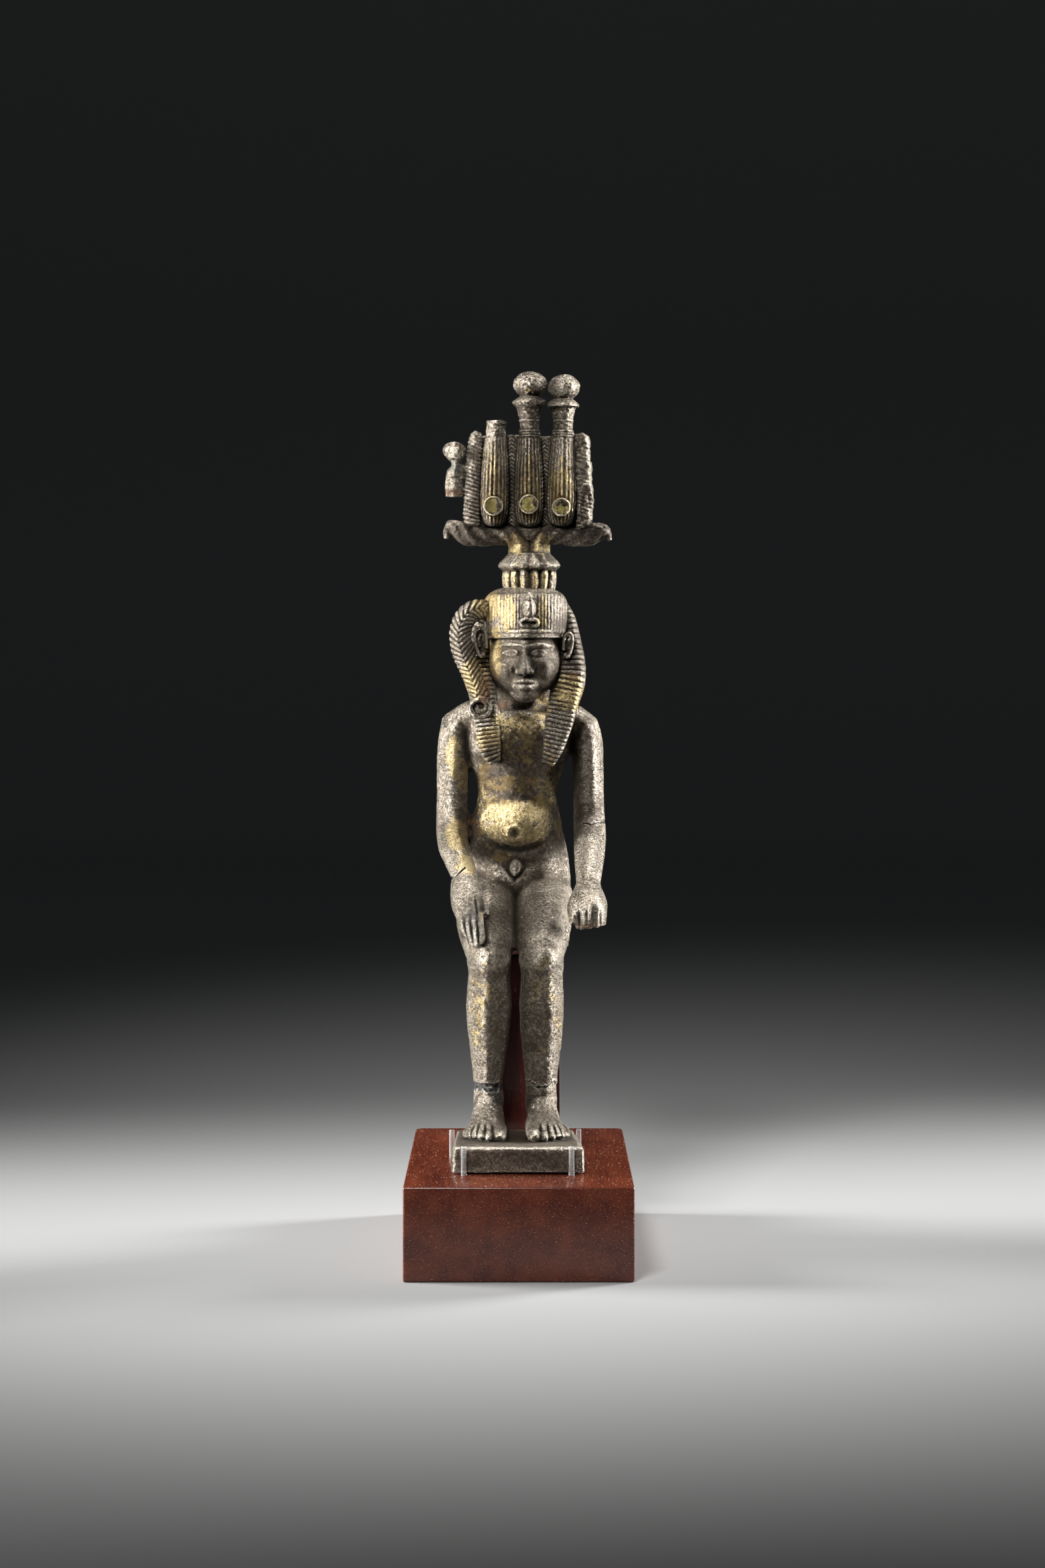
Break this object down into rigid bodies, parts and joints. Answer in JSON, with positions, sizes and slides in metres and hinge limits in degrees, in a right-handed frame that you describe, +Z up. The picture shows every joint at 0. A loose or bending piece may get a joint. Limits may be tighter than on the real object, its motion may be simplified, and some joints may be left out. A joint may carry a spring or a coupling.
{
  "type": "seated deity statuette",
  "caption": "Seated deity in parcel-gilt silver with striped headcloth, plaited sidelock and tall composite crown, on a hardwood seat post and block with clear holding rods.",
  "frame": {"origin": "middle of the block's underside", "axes": "+Z up, the figure faces -Y, +X is the viewer's right when facing it"},
  "size_m": [0.052, 0.084, 0.2096],
  "materials": {
    "parcel_gilt_silver": "worn, tarnished silver with remains of gilding, dark in the hollows",
    "mahogany_block": "satin varnish, red-brown with fine pale and dark pores along the depth",
    "mahogany_post": "satin varnish, dark red-brown with upright pores",
    "clear_acrylic": "clear, polished"
  },
  "bodies": {
    "root": {"figure": "parcel_gilt_silver", "block": "mahogany_block", "post": "mahogany_post", "pin_front_left": "clear_acrylic", "pin_front_right": "clear_acrylic", "pin_side_left": "clear_acrylic", "pin_side_right": "clear_acrylic"}
  },
  "joints": []
}
